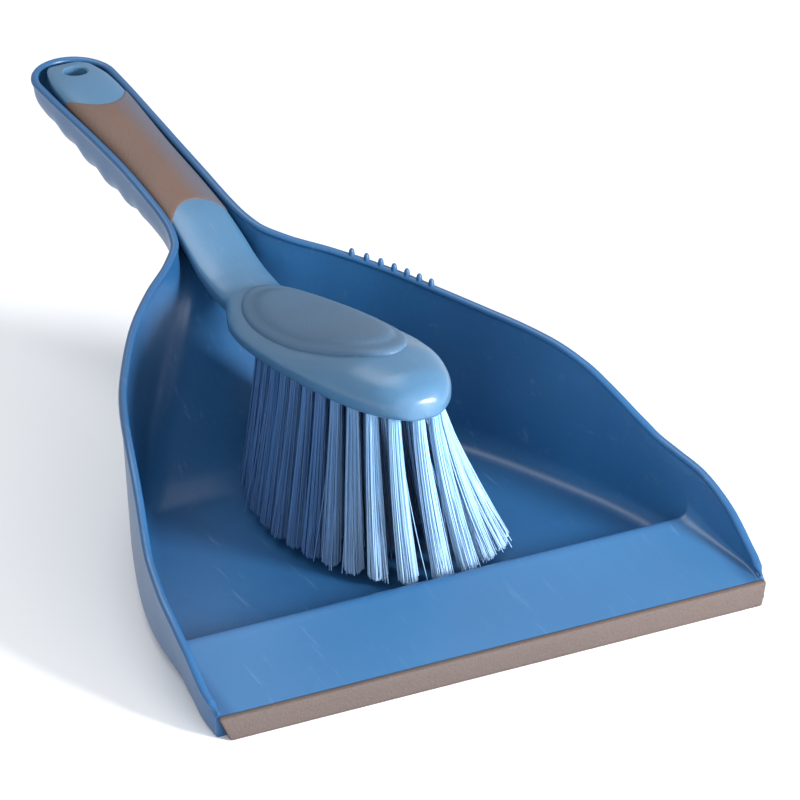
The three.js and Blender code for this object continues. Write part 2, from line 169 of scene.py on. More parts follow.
print("helpers ready")

# %% [markdown]
# ## Camera
# The camera comes first, so that every later step can be judged in the final view. A long lens
# from about two and a half metres keeps the dustpan's lip and handle close to parallel.

# %% Camera
CAMERA_FROM = (-1119.0, -2079.0, 1314.0)
CAMERA_AIM = (40.2, 150.0, 28.6)
camera = bpy.data.objects.new("camera", bpy.data.cameras.new("camera"))
bpy.context.scene.collection.objects.link(camera)
camera.location = to_frame(CAMERA_FROM)
look = Vector(to_frame(CAMERA_AIM)) - camera.location
camera.rotation_mode = "QUATERNION"
camera.rotation_quaternion = look.to_track_quat("-Z", "Y")
camera.data.lens = 343.0
camera.data.sensor_width = 36.0
camera.data.clip_end = 50.0
bpy.context.scene.camera = camera
print("camera distance", round(look.length, 3))

# %% [markdown]
# ## Light and floor
# A product picture on white needs a pale floor, an even pale surround and one strong key light.
# The key stands low at the front right: it makes the front bristles and the ramp bright, leaves
# the floor behind the ramp darker and puts the bristles' left side in shade. Three weak lights
# keep the shaded walls readable.

# %% Light and floor
def area_light(name, place, aim, size, power):
    light = bpy.data.lights.new(name, "AREA")
    light.shape = "DISK"
    light.size = size
    light.energy = power
    holder = bpy.data.objects.new(name, light)
    holder.location = place
    holder.rotation_mode = "QUATERNION"
    holder.rotation_quaternion = (Vector(aim) - Vector(place)).to_track_quat("-Z", "Y")
    bpy.context.scene.collection.objects.link(holder)
    return holder


area_light("key", (0.70, -1.20, 0.52), (0.0, -0.02, 0.03), 0.36, 38.0)
# this fill only lightens the shaded walls, so it is kept out of reflections
area_light("left", (-1.0, -1.15, 0.5), (0.0, 0.0, 0.04), 0.9, 8.0).visible_glossy = False
area_light("front", (-0.1, -1.6, 0.8), (0.0, 0.0, 0.04), 1.6, 7.0)
area_light("top", (-0.1, 0.55, 1.3), (0.0, 0.0, 0.0), 1.0, 7.0)
world = bpy.data.worlds.new("surround")
world.use_nodes = True
world.node_tree.nodes["Background"].inputs["Color"].default_value = (0.93, 0.96, 1.0, 1.0)
world.node_tree.nodes["Background"].inputs["Strength"].default_value = 0.54
bpy.context.scene.world = world
bpy.context.scene.view_settings.view_transform = "Standard"
bpy.context.scene.view_settings.look = "None"

floor_mesh = bpy.data.meshes.new("floor")
FLOOR_HALF = 12.0
corners = [(-1, -1), (1, -1), (1, 1), (-1, 1)]
floor_mesh.from_pydata([(x * FLOOR_HALF, y * FLOOR_HALF, 0) for x, y in corners], [], [(0, 1, 2, 3)])
floor = bpy.data.objects.new("floor", floor_mesh)
bpy.context.scene.collection.objects.link(floor)

# %% [markdown]
# ## Writing materials as arithmetic
# A procedural finish is mostly sums on numbers that vary over the surface. This small class
# wraps a socket so that `a * b + 0.2` adds the Math nodes by itself, and one method adds any
# other node from its settings and its socket values.

# %% Shader helper
class Finish:
    def __init__(self, name):
        self.material = bpy.data.materials.new(name)
        self.material.use_nodes = True
        self.tree = self.material.node_tree
        self.shader = self.tree.nodes["Principled BSDF"]
        self.coords = Value(self, self.tree.nodes.new("ShaderNodeTexCoord").outputs["Object"])

    def node(self, kind, settings=None, output=0, **sockets):
        made = self.tree.nodes.new(kind)
        for key, value in (settings or {}).items():
            if key == "stops":
                ramp = made.color_ramp
                while len(ramp.elements) < len(value):
                    ramp.elements.new(0.5)
                for element, (place, colour) in zip(ramp.elements, value):
                    element.position = place
                    element.color = colour
            else:
                setattr(made, key, value)
        for key, value in sockets.items():
            # a name such as s2 means the socket's number, because Math sockets share one name
            place = int(key[1:]) if key[1:].isdigit() else key.replace("_", " ")
            self.feed(made.inputs[place], value)
        return Value(self, made.outputs[output])

    def feed(self, socket, value):
        if isinstance(value, Value):
            self.tree.links.new(value.socket, socket)
        else:
            socket.default_value = value

    def set(self, **values):
        for key, value in values.items():
            self.feed(self.shader.inputs[key.replace("_", " ")], value)

    def noise(self, scale, detail=3.0, rough=0.55, at=None):
        return self.node(
            "ShaderNodeTexNoise", Vector=at or self.coords, Scale=scale, Detail=detail, Roughness=rough
        )

    def grey_ramp(self, factor, low, high):
        stops = ((low, (0, 0, 0, 1)), (high, (1, 1, 1, 1)))
        return self.node("ShaderNodeValToRGB", {"stops": stops}, Fac=factor)

    def axis(self, index):
        """One of the object's coordinates: 0 across, 1 along, 2 up."""
        return self.node("ShaderNodeSeparateXYZ", output=index, Vector=self.coords)

    def mix(self, factor, first, second):
        return self.node(
            "ShaderNodeMix", {"data_type": "RGBA"}, output=2, s0=factor, s6=first, s7=second
        )

    def bump(self, height, strength, distance):
        return self.node("ShaderNodeBump", Height=height, Strength=strength, Distance=distance)


class Value:
    def __init__(self, finish, socket):
        self.finish, self.socket = finish, socket

    def _math(self, operation, first, second):
        return self.finish.node("ShaderNodeMath", {"operation": operation}, s0=first, s1=second)

    def __add__(self, other):
        return self._math("ADD", self, other)

    __radd__ = __add__

    def __mul__(self, other):
        return self._math("MULTIPLY", self, other)

    __rmul__ = __mul__

    def __sub__(self, other):
        return self._math("SUBTRACT", self, other)

    def __rsub__(self, other):
        return self._math("SUBTRACT", other, self)


def rgb(r, g, b):
    """An sRGB colour out of 255 as the linear colour that a shader takes."""
    out = []
    for c in (r, g, b):
        c = c / 255
        out.append(c / 12.92 if c <= 0.04045 else ((c + 0.055) / 1.055) ** 2.4)
    return (*out, 1.0)


print("shader helper ready")

# %% [markdown]
# ## Floor finish
# The floor is matt and nearly white, with a very faint unevenness so it doesn't look like a
# cut-out. It belongs to the stage, not to the object.

# %% Floor finish
floor_finish = Finish("pale_floor")
floor_finish.set(
    Base_Color=floor_finish.mix(
        floor_finish.noise(3.0), rgb(238, 239, 241), rgb(243, 244, 245)
    ),
    Roughness=0.75,
)
floor.data.materials.append(floor_finish.material)

# %% [markdown]
# ## Moulded blue plastic
# Polypropylene has a soft satin gloss. Its colour is even, but used plastic shows faint cloudy
# patches, a very fine grain that breaks the highlight, and hairline scratches that run mostly
# the way dirt is swept. The scratches are stretched noise that only touches roughness and bump.

# %% Plastic finishes
LIT_RAMP_BACK, LIT_RAMP_HALF, LIT_RAMP_TOP = 45.0, 105.0, 16.0  # how far back, wide and high the painted light on the ramp goes


def blue_plastic(name, deep, pale, gloss, ramp_light=0.0):
    f = Finish(name)
    cloud = f.noise(9.0, 4.0)
    speck = f.noise(900.0, 2.0)
    stretched = f.node("ShaderNodeMapping", Vector=f.coords, Scale=(420.0, 24.0, 160.0))
    hair = f.grey_ramp(f.noise(1.0, 6.0, 0.7, at=stretched), 0.60, 0.74)
    grain = f.noise(1500.0, 2.0)
    colour = f.mix(f.grey_ramp(cloud, 0.35, 0.68), deep, pale)
    colour = f.mix(hair * 0.10 + speck * 0.04, colour, rgb(170, 195, 215))
    if ramp_light:
        # painted light: the ramp is paled from the front edge back to its crest, for the light and sheen that
        # fall on it
        far = f.node("ShaderNodeMath", {"operation": "ABSOLUTE"}, s0=f.axis(0))
        lit_patch = f.grey_ramp((FRONT_EDGE + LIT_RAMP_BACK * MM - f.axis(1)) * 60.0, 0.0, 0.25)
        lit_patch = lit_patch * f.grey_ramp((LIT_RAMP_HALF * MM - far) * 60.0, 0.0, 0.25)
        lit_patch = lit_patch * f.grey_ramp((LIT_RAMP_TOP * MM - f.axis(2)) * 300.0, 0.0, 0.5)
        colour = f.mix(lit_patch * ramp_light, colour, rgb(70, 128, 176))
    height = grain * 0.35 + cloud * 0.5 - hair * 0.6
    f.set(
        Base_Color=colour,
        Roughness=cloud * 0.10 + hair * 0.14 + (gloss - 0.04),
        Normal=f.bump(height, 0.18, 0.00025),
        Specular_IOR_Level=0.6,
    )
    return f.material


# the pan's finish carries a paler patch of painted light on its ramp
pan_plastic = blue_plastic("pan_plastic", rgb(20, 74, 120), rgb(26, 84, 131), 0.33, ramp_light=0.30)
brush_plastic = blue_plastic("brush_plastic", rgb(60, 102, 136), rgb(69, 111, 145), 0.30)
print("plastics", pan_plastic.name, brush_plastic.name)

# %% [markdown]
# ## Soft rubber finishes
# The lip, the grip and the head pad are thermoplastic rubber. It is matt, with a fine pitted texture from the
# mould and faint pale flecks of dust.

# %% Rubber finishes
def soft_rubber(name, deep, pale, rough, pit_scale, pit_depth, side=None):
    f = Finish(name)
    cloud = f.noise(14.0, 4.0)
    cells = f.node("ShaderNodeTexVoronoi", Vector=f.coords, Scale=pit_scale)
    pits = f.grey_ramp(cells, 0.05, 0.55)
    grain = f.noise(pit_scale * 1.7, 3.0)
    colour = f.mix(f.grey_ramp(cloud, 0.3, 0.7), deep, pale)
    colour = f.mix(grain * 0.07, colour, rgb(205, 203, 200))
    if side:
        # painted reflection: the +X side is tinted greyer, standing for a sheen on that side
        colour = f.mix(f.grey_ramp(f.axis(0) * 50.0 + 0.2, 0.2, 0.6) * 0.7, colour, side)
    f.set(
        Base_Color=colour,
        Roughness=cloud * 0.12 + (rough - 0.05),
        Normal=f.bump(pits * 0.7 + grain * 0.5, 0.35, pit_depth),
        Specular_IOR_Level=0.35,
    )
    return f.material


lip_rubber = soft_rubber("lip_rubber", rgb(62, 48, 45), rgb(72, 57, 53), 0.62, 900.0, 0.0002)
# the grip's +X side gets a painted grey-blue reflection
grip_rubber = soft_rubber(
    "grip_rubber", rgb(90, 66, 56), rgb(102, 78, 67), 0.50, 1100.0, 0.0003, side=rgb(84, 94, 112)
)
pad_rubber = soft_rubber("pad_rubber", rgb(56, 91, 122), rgb(65, 100, 130), 0.50, 1100.0, 0.00025)
print("rubbers", lip_rubber.name, grip_rubber.name, pad_rubber.name)

# %% [markdown]
# ## The dustpan shell
# The pan is one moulding: a ramp behind the lip, a flat floor, side walls that rise and close in
# towards the back, and a trough handle. Every slice across it is a thick U, so the shell is a
# stack of closed loops: under the floor, up the outer wall, over the rounded rim, and down the
# inner wall to the middle of the floor. Booleans would make the same shape, but loops keep the
# shading smooth and let the rim bead follow the edge exactly.

# %% Pan dimensions, in millimetres from the front edge
PAN_LENGTH = 360.0
PAN_HALF = 110.0
WALL = 2.2
FLOOR_THICK = 2.6
RIM_BEAD = 1.6
HANDLE_HALF = 16.6
TROUGH_WAIST = 14.6
TROUGH_START = 246.0
RAMP_START = 8.2
RAMP_CREST = 14.0
RAMP_CREST_Y = 45.0
RAMP_FOOT_Y = 52.0
HOLLOW_FROM = 4.0
HOLLOW_MARGIN = 17.0
HANG_HOLE_Y = 343.0
HANG_HOLE_RADIUS = 4.5

rim_half = through(
    (0, PAN_HALF), (10, PAN_HALF + 1.2), (24, PAN_HALF + 1), (42, PAN_HALF - 0.4),
    (58, PAN_HALF - 3.7), (70, PAN_HALF - 6.8), (80, 100), (90, 96.7), (101, 93.2), (117, 87.8),
    (131, 82.6), (147, 75.6), (163, 66.8), (184, 53), (200, 38.7), (212, 25.6), (222, 18),
    (234, 15.4), (TROUGH_START, TROUGH_WAIST + 0.2), (270, TROUGH_WAIST), (300, 15.3),
    (330, HANDLE_HALF - 0.2), (344, HANDLE_HALF), (PAN_LENGTH, HANDLE_HALF),
)
rim_height = through(
    (0, RAMP_START + 1.2), (4, 11.6), (10, 15), (24, 24), (42, 31.2), (58, 34.6), (66, 36.4),
    (74, 40), (90, 48.3), (101, 53), (117, 56.8), (131, 58.2), (147, 59.4), (163, 61.6),
    (184, 65.6), (200, 69.4), (212, 72.6), (222, 75.4), (234, 78), (TROUGH_START, 80),
    (270, 83.4), (300, 86.2), (330, 88.4), (PAN_LENGTH, 90.5),
)
base_half = through(
    (0, PAN_HALF), (10, PAN_HALF - 0.6), (28, PAN_HALF - 4), (42, PAN_HALF - 6.5),
    (58, PAN_HALF - 7.6), (70, 100.6), (85, 97), (101, 91.5), (120, 84), (136, 77), (150, 70),
    (165, 60), (184, 47), (200, 32.5), (212, 21), (222, 15.8), (234, 14),
    (TROUGH_START, TROUGH_WAIST - 1), (270, TROUGH_WAIST - 1.2), (300, 14),
    (330, HANDLE_HALF - 1.6), (PAN_LENGTH, HANDLE_HALF - 1.6),
)
underside = through(
    (0, 0), (154, 0), (166, 3), (184, 17), (204, 36), (220, 51), (234, 60.6),
    (TROUGH_START, 64), (256, 65), (270, 65.2), (285, 66.2), (300, 68), (315, 70.6),
    (330, 73.6), (346, 77.2), (PAN_LENGTH, 82),
)
corner_size = through(
    (0, 1), (30, 4), (60, 8), (120, 10), (190, 11), (TROUGH_START, 10), (PAN_LENGTH, 9),
)
ramp_top = through(
    (0, RAMP_START), (RAMP_CREST_Y - 4, RAMP_CREST - 0.9), (RAMP_CREST_Y - 1.2, RAMP_CREST - 0.25),
    (RAMP_CREST_Y, RAMP_CREST - 0.1), (RAMP_CREST_Y + 1.2, RAMP_CREST - 0.7),
    (RAMP_FOOT_Y - 2, FLOOR_THICK + 2.2), (RAMP_FOOT_Y + 1, FLOOR_THICK + 0.2),
    (RAMP_FOOT_Y + 4, FLOOR_THICK), (400, FLOOR_THICK),
)
hollow_roof = through(
    (HOLLOW_FROM, RAMP_START - FLOOR_THICK), (RAMP_CREST_Y - 3, RAMP_CREST - FLOOR_THICK - 1),
    (RAMP_CREST_Y, RAMP_CREST - FLOOR_THICK - 1.2), (RAMP_FOOT_Y - 5, 0.0),
)


def finger_wave(y):
    inside = clamp((y - 256) / 10) * clamp((340 - y) / 10)
    return inside * 0.8 * (1 - math.cos(2 * math.pi * (y - 256) / 17))


print("pan spans", PAN_LENGTH, "mm")


# %% One slice of the pan
def half_slice(y_out, y_in, round_out, round_in, turn):
    """Points from the middle of the underside, round the right wall, to the middle of the floor.
    turn is 0 along the pan and 90 degrees at the tip of the handle, where the U closes."""
    y = y_out
    lift = (1 - round_out) * 5
    z0 = underside(y) + finger_wave(y) + lift
    hr, hb, zr = rim_half(y) * round_out, base_half(y) * round_out, rim_height(y)
    points = []
    run = math.hypot(hr - hb, zr - z0)
    c = min(corner_size(y) * round_out, run * 0.6, hb * 0.8)
    roof = hollow_roof(y) if HOLLOW_FROM <= y <= RAMP_FOOT_Y - 5 else 0.0
    skirt = min(PAN_HALF - HOLLOW_MARGIN, (hb - c) * 0.97)
    for part in (0, 0.25, 0.5, 0.75, 1):
        points.append((skirt * part, y, z0 + roof))
    points.append((skirt + 0.02 * round_out, y, z0))
    end = (hb + (hr - hb) / run * c, z0 + (zr - z0) / run * c)
    steps = 8
    for i in range(steps + 1):
        t = i / steps
        x = (1 - t) ** 2 * (hb - c) + 2 * t * (1 - t) * hb + t**2 * end[0]
        z = (1 - t) ** 2 * z0 + 2 * t * (1 - t) * z0 + t**2 * end[1]
        points.append((x, y, z))
    wall_top = zr - RIM_BEAD * 0.9
    for t in (0.2, 0.4, 0.6, 0.8, 0.97):
        z = end[1] + (max(wall_top, end[1]) - end[1]) * t
        x = end[0] + (hr - end[0]) * (z - end[1]) / max(zr - end[1], 0.01)
        points.append((x, y, z))
    # rounded rim, turned to face outwards in plan
    slope = (rim_half(y + 0.5) - rim_half(y - 0.5)) if round_out > 0.999 else 0.0
    facing = math.atan2(-slope, 1.0) if round_out > 0.999 else turn
    grow = clamp(y / 4.0, 0.35, 1.0)
    mid_x = (hr + max((rim_half(y_in) - WALL), 0) * round_in) / 2
    mid_y = (y_out + y_in) / 2
    for k in range(13):
        a = math.radians(-50 + 280 * k / 12)
        out = RIM_BEAD * grow * math.cos(a)
        up = RIM_BEAD * grow * 0.85 * math.sin(a)
        px = max(mid_x + out * math.cos(facing), 0.0)
        points.append((px, mid_y + out * math.sin(facing), zr - 0.5 * grow + up))
    # inner wall and floor
    y = y_in
    yy = max(y, 0.0)
    floor_z = max(underside(yy) + FLOOR_THICK, ramp_top(yy)) + (1 - round_in) * 5
    lean = (rim_half(yy) - base_half(yy)) / (rim_height(yy) - underside(yy))
    hr = (rim_half(yy) - WALL) * round_in
    hb = (base_half(yy) - WALL + lean * (floor_z - underside(yy))) * round_in
    run = math.hypot(hr - hb, max(zr - floor_z, 0.3))
    c = min(max(corner_size(yy) - 1, 1.0) * round_in, run * 0.6, hb * 0.8)
    end = (hb + (hr - hb) / run * c, floor_z + max(zr - floor_z, 0.3) / run * c)
    for t in (0.97, 0.8, 0.6, 0.4, 0.2):
        z = end[1] + (max(wall_top, end[1]) - end[1]) * t
        x = end[0] + (hr - end[0]) * (z - end[1]) / max(zr - end[1], 0.01)
        points.append((x, y, z))
    for i in range(steps, -1, -1):
        t = i / steps
        x = (1 - t) ** 2 * (hb - c) + 2 * t * (1 - t) * hb + t**2 * end[0]
        z = (1 - t) ** 2 * floor_z + 2 * t * (1 - t) * floor_z + t**2 * end[1]
        points.append((x, y, z))
    for part in (0.8, 0.6, 0.4, 0.2, 0):
        points.append(((hb - c) * part, y, floor_z))
    return points


# %% The whole pan shell
marks = [i * 0.8 for i in range(76)] + [HOLLOW_FROM - 0.01, HOLLOW_FROM, RAMP_FOOT_Y - 5 + 0.01]
marks += list(np.arange(61.0, PAN_LENGTH - HANDLE_HALF, 1.6))
slices = [(y, y, 1.0, 1.0, 0.0) for y in sorted(marks)]
for i in range(25):
    turn = math.radians(90 * i / 24)
    reach_out = PAN_LENGTH - HANDLE_HALF + HANDLE_HALF * math.sin(turn)
    reach_in = PAN_LENGTH - HANDLE_HALF + (HANDLE_HALF - WALL) * math.sin(turn)
    slices.append((reach_out, reach_in, math.cos(turn), math.cos(turn), turn))
loops = []
for values in slices:
    right = half_slice(*values)
    left = [(-x, y, z) for x, y, z in reversed(right[1:-1])]
    loops.append(right + left)
pan = stacked("pan", loops, smooth_angle=40, last_cap=False)
cut(pan, flared_hole(0, HANG_HOLE_Y, 75.8, 79.8, HANG_HOLE_RADIUS, 0.6))
pan.data.materials.clear()
pan.data.materials.append(pan_plastic)
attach(pan, "dustpan")
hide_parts("pan_shell")
print("pan faces", len(pan.data.polygons), "size mm", [round(v / MM, 1) for v in pan.dimensions])

# %% [markdown]
# ## The soft lip
# The lip is a soft strip that hangs from the front edge of the ramp and leans forward until its
# thin tip rests on the floor. Its cross-section is the same all along, so it is one outline
# pushed from side to side; its lower corners are drawn in, and its ends are slightly rounded.

# %% Lip
LIP_OUTLINE = (
    (-0.3, 2.4), (-0.3, 8.0), (-0.55, 8.25), (-1.2, 8.3), (-1.9, 8.15), (-2.35, 7.75),
    (-2.65, 7.2), (-3.35, 4.9), (-4.05, 2.6), (-4.5, 0.95), (-4.6, 0.45), (-4.45, 0.1),
    (-4.1, 0.0), (-3.2, 0.0), (-2.9, 0.15),
)
LIP_HALF = PAN_HALF - 0.6
LIP_CORNER_INSET = 3.0
LIP_CENTRE = (-2.3, 4.5)


def lip_loop(share, shrink):
    """One slice; share is -1 at the left end and 1 at the right, shrink draws it in."""
    loop = []
    for y, z in LIP_OUTLINE:
        half = LIP_HALF - LIP_CORNER_INSET * clamp(1 - z / RAMP_START)
        y += (LIP_CENTRE[0] - y) * shrink
        z += (LIP_CENTRE[1] - z) * shrink
        loop.append((share * half, y, z))
    return loop


ends = [(1.0, 0.10), (0.9985, 0.04), (0.996, 0.01), (0.99, 0.0)]
stations = [(-t, s) for t, s in ends] + [(t, 0.0) for t in np.linspace(-0.97, 0.97, 60)]
stations += [(t, s) for t, s in reversed(ends)]
lip = stacked("lip", [lip_loop(t, s) for t, s in stations], smooth_angle=50)
lip.data.materials.append(lip_rubber)
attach(lip, "dustpan")
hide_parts("lip_blade")
print("lip faces", len(lip.data.polygons))

# %% [markdown]
# ## The brush body
# Head, neck and handle are one moulding too. Seen from above it is an oval that narrows to a
# neck and widens to a handle; seen from the side its top dips at the neck. Each slice is a
# rounded shape whose top half is a dome and whose lower half is flatter under the head.

# %% Brush dimensions
NOSE_Y = 52.0
HEAD_LENGTH = 140.0
HEAD_END = NOSE_Y + HEAD_LENGTH
HEAD_HALF = 25.5
NECK_HALF = 12.0
BRUSH_END = 355.5
GRIP_FROM, GRIP_TO = 243.0, 313.0
GRIP_NECK_BOW, GRIP_END_BOW = 22.0, 33.0

brush_top = through(
    (NOSE_Y, 78.5), (53.5, 82), (58, 86), (66, 88.4), (78, 88.6), (100, 84.4), (120, 79),
    (140, 74.4), (160, 70.8), (180, 68.4), (193, 67.4), (201, 67.8), (210, 69.4), (222, 73.6),
    (237, 78.8), (260, 83.6), (290, 88.2), (318, 91.6), (337, 93), (348, 92.4), (353, 90.8),
    (BRUSH_END, 87.6),
)
brush_under = through(
    (NOSE_Y, 74.4), (60, 73.4), (100, 69.6), (130, 65.4), (150, 62.6), (165, 60.2),
    (180, 57.6), (192, 55.2), (200, 54.8), (212, 57.6), (225, 63.4), (240, 68.4), (254, 70.4),
    (270, 71.4), (300, 74.2), (330, 79.2), (348, 83.2), (BRUSH_END, 86),
)
handle_half = through(
    (HEAD_END - 20, NECK_HALF - 1), (HEAD_END, NECK_HALF), (212, NECK_HALF + 0.2),
    (230, NECK_HALF - 0.2), (250, 11.2), (280, 11.2), (300, 11.8), (322, 12.4), (336, 12),
    (348, 9.6), (353.8, 6), (BRUSH_END, 2.5),
)
under_power = through((NOSE_Y, 4), (HEAD_END - 22, 4), (HEAD_END + 8, 2.3), (BRUSH_END, 2.3))


def brush_half(y):
    middle = NOSE_Y + HEAD_LENGTH / 2
    t = min(abs((y - middle) / (HEAD_LENGTH / 2)), 1.0)
    oval = HEAD_HALF * max(1 - t**2.3, 0.0) ** (1 / 2.3)
    if y < middle:
        return oval
    h = handle_half(y)
    soft = 6.0
    mix = max(soft - abs(oval - h), 0) / soft
    return max(oval, h) + mix * mix * soft / 4


def widest_height(y):
    t = clamp((y - HEAD_END + 22) / 30)
    head_line = brush_under(y) + min(5, (brush_top(y) - brush_under(y)) * 0.45)
    handle_line = (brush_top(y) + brush_under(y)) / 2 + 3
    return head_line * (1 - t) + handle_line * t


def brush_slice(y, inset=0.0, sides=112, squeeze=1.0):
    w = max(brush_half(y) - inset, 0.05) * squeeze
    m = widest_height(y)
    up = max(brush_top(y) - inset - m, 0.3) * squeeze
    down = max(m - brush_under(y) - inset, 0.3) * squeeze
    loop = []
    for i in range(sides):
        a = 2 * math.pi * i / sides
        c, s = math.cos(a), math.sin(a)
        power = 2.25 if s >= 0 else under_power(y)
        x = w * math.copysign(abs(c) ** (2 / power), c)
        z = m + (up if s >= 0 else down) * math.copysign(abs(s) ** (2 / power), s)
        loop.append((x, y, z))
    return loop


# %% Brush body mesh
marks = [NOSE_Y + 24 * (i / 30) ** 2.2 for i in range(31)]
marks += list(np.arange(NOSE_Y + 25, BRUSH_END - 12, 1.4))
marks += [BRUSH_END - 12 * (1 - i / 20) ** 2 for i in range(21)]
loops = []
for y in marks:
    # quarter circles close the nose and the end
    squeeze = 1.0
    for near in (clamp((y - NOSE_Y) / 1.5), clamp((BRUSH_END - y) / 1.2)):
        squeeze *= math.sqrt(max(1 - (1 - near) ** 2, 0.0))
    inset = 2.0 if GRIP_FROM + 4 < y < GRIP_TO - 4 else 0.0
    loops.append(brush_slice(y, inset=inset, squeeze=max(squeeze, 0.02)))
brush = stacked("brush", loops, smooth_angle=40)
cut(brush, flared_hole(0, HANG_HOLE_Y, 81.4, 92.9, HANG_HOLE_RADIUS, 0.9))
brush.data.materials.clear()
brush.data.materials.append(brush_plastic)
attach(brush, "brush")
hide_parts("brush_body")
print("brush faces", len(brush.data.polygons))

# %% [markdown]
# ## The grip
# The grip is a rubber sleeve moulded over the handle. Its two edges are curved in plan, so its
# sides reach further along the handle than its middle. The sleeve is a grid that runs round and
# along the handle. Where it starts and stops depends on how far round a point is, and its last
# rows dip into the plastic so the edge looks rounded and shows no gap.

# %% Grip
def grip_edges(x):
    """Where the sleeve starts and ends for a point that far from the middle line."""
    bow = (x / 20.0) ** 2
    return GRIP_FROM - GRIP_NECK_BOW * bow, GRIP_TO + GRIP_END_BOW * bow


grip_sides = 112
rows = [(-0.02, -0.5), (0.0, 0.1), (0.006, 0.28), (0.014, 0.34)]
rows += [(t, 0.34) for t in np.linspace(0.025, 0.975, 76)]
rows += [(0.986, 0.34), (0.994, 0.28), (1.0, 0.1), (1.02, -0.5)]
grid = []
for t, proud in rows:
    loop = []
    for i in range(grip_sides):
        a = 2 * math.pi * i / grip_sides
        start, stop = grip_edges(12.2 * math.cos(a))
        t2 = clamp(t)
        y = start + (stop - start) * t2 + (t - t2) * 8
        loop.append(brush_slice(y, inset=-proud, sides=grip_sides)[i])
    grid.append(loop)
inner = []
for t in (1.0, 0.0):
    loop = []
    for i in range(grip_sides):
        a = 2 * math.pi * i / grip_sides
        start, stop = grip_edges(12.2 * math.cos(a))
        y = start + 1.0 + (stop - start - 2.0) * t
        loop.append(brush_slice(y, inset=1.7, sides=grip_sides)[i])
    inner.append(loop)
all_rows = grid + inner
n = grip_sides
faces = []
for k in range(len(all_rows)):
    for i in range(n):
        j = (i + 1) % n
        after = (k + 1) % len(all_rows)
        faces.append((k * n + i, k * n + j, after * n + j, after * n + i))
grip = mesh_object("grip", [p for loop in all_rows for p in loop], faces, smooth_angle=50)
grip.data.materials.append(grip_rubber)
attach(grip, "brush")
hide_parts("handle_grip")
print("grip faces", len(grip.data.polygons))

# %% [markdown]
# ## The head pad
# The pad is a stepped oval that follows the head's dome. It is made as rings that grow outwards
# from the middle line; each ring knows how high it stands above the head, so the two steps and
# their rounded shoulders come from one short list of ring widths and heights.

# %% Head pad
PAD_MIDDLE, PAD_HALF_LENGTH, PAD_HALF_WIDTH = 133.0, 54.0, 20.0
PAD_RINGS = (
    (0.0, 3.6), (0.15, 3.6), (0.3, 3.6), (0.45, 3.6), (0.58, 3.58), (0.68, 3.5), (0.745, 3.4),
    (0.785, 3.15), (0.81, 2.8), (0.83, 2.45), (0.85, 2.15), (0.87, 2.0), (0.90, 1.95),
    (0.935, 1.9), (0.96, 1.75), (0.978, 1.5), (0.99, 1.1), (0.997, 0.6), (1.0, 0.2), (1.0, -0.9),
)


def head_surface(x, y):
    w = brush_half(y)
    m = widest_height(y)
    across = min(abs(x) / w, 0.999)
    return m + (brush_top(y) - m) * (1 - across**2.25) ** (1 / 2.25)


def pad_point(share, angle, rise):
    x = PAD_HALF_WIDTH * share * math.cos(angle)
    y = PAD_MIDDLE + PAD_HALF_LENGTH * share * math.sin(angle)
    return (x, y, head_surface(x, y) + rise)


pad_steps = 160
pad_points = [pad_point(0, 0, PAD_RINGS[0][1])]
for share, rise in PAD_RINGS[1:]:
    for i in range(pad_steps):
        pad_points.append(pad_point(share, 2 * math.pi * i / pad_steps, rise))
pad_faces = [(0, 1 + i, 1 + (i + 1) % pad_steps) for i in range(pad_steps)]
for k in range(len(PAD_RINGS) - 2):
    low = 1 + k * pad_steps
    for i in range(pad_steps):
        j = (i + 1) % pad_steps
        pad_faces.append((low + i, low + j, low + pad_steps + j, low + pad_steps + i))
last = 1 + (len(PAD_RINGS) - 2) * pad_steps
pad_points.append((0, PAD_MIDDLE, head_surface(0, PAD_MIDDLE) - 1.5))
for i in range(pad_steps):
    pad_faces.append((last + (i + 1) % pad_steps, last + i, len(pad_points) - 1))
pad = mesh_object("pad", pad_points, pad_faces, smooth_angle=60)
pad.data.materials.append(pad_rubber)
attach(pad, "brush")
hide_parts("head_pad")
print("pad faces", len(pad.data.polygons))

# %% [markdown]
# ## The bristles
# A real tuft is a bundle of fine synthetic bristles folded into a blind hole. Hundreds of thin
# copies that differ a little are a job for Geometry Nodes: one point per tuft carries where its
# bundle ends, each point is duplicated, every duplicate gets its own seeded spread, and a thin
# tube is swept along a bent line from root to tip. The bundles spread towards their tips.

# %% Where the tufts are
TUFT_MIDDLE = 114.0
TUFT_RINGS = ((55.0, 20.6, 28, 0.0), (44.5, 10.4, 18, 0.5))
TUFT_ROW_COUNT, TUFT_ROW_PITCH = 5, 13.0
TIP_HEIGHT = 4.6
TIP_CLEAR = 1.2
FLARE, LEAN, NOSE_LEAN = 10.0, 3.0, 6.0
SPLAY, SWEEP = 11.0, 12.0
TIP_RADIUS = 3.7
ROOT_RADIUS = 2.0
BRISTLE_RADIUS = 0.25
ROOT_DEPTH = 2.5  # the roots are drawn from just inside the head


def ring_places(half_length, half_width, count, turn):
    steps = 720
    fine, run = [], 0.0
    for i in range(steps + 1):
        a = -math.pi / 2 + 2 * math.pi * i / steps
        x, y = half_width * math.cos(a), TUFT_MIDDLE + half_length * math.sin(a)
        if i:
            run += math.hypot(x - fine[-1][0], y - fine[-1][1])
        fine.append((x, y, run))
    places = []
    for k in range(count):
        want = run * (k + turn) / count
        places.append(next(p[:2] for p in fine if p[2] >= want - 1e-6))
    return places


outer_places = ring_places(*TUFT_RINGS[0])
inner_places = ring_places(*TUFT_RINGS[1])
for k in range(TUFT_ROW_COUNT):
    inner_places.append((0.0, TUFT_MIDDLE + (k - (TUFT_ROW_COUNT - 1) / 2) * TUFT_ROW_PITCH))


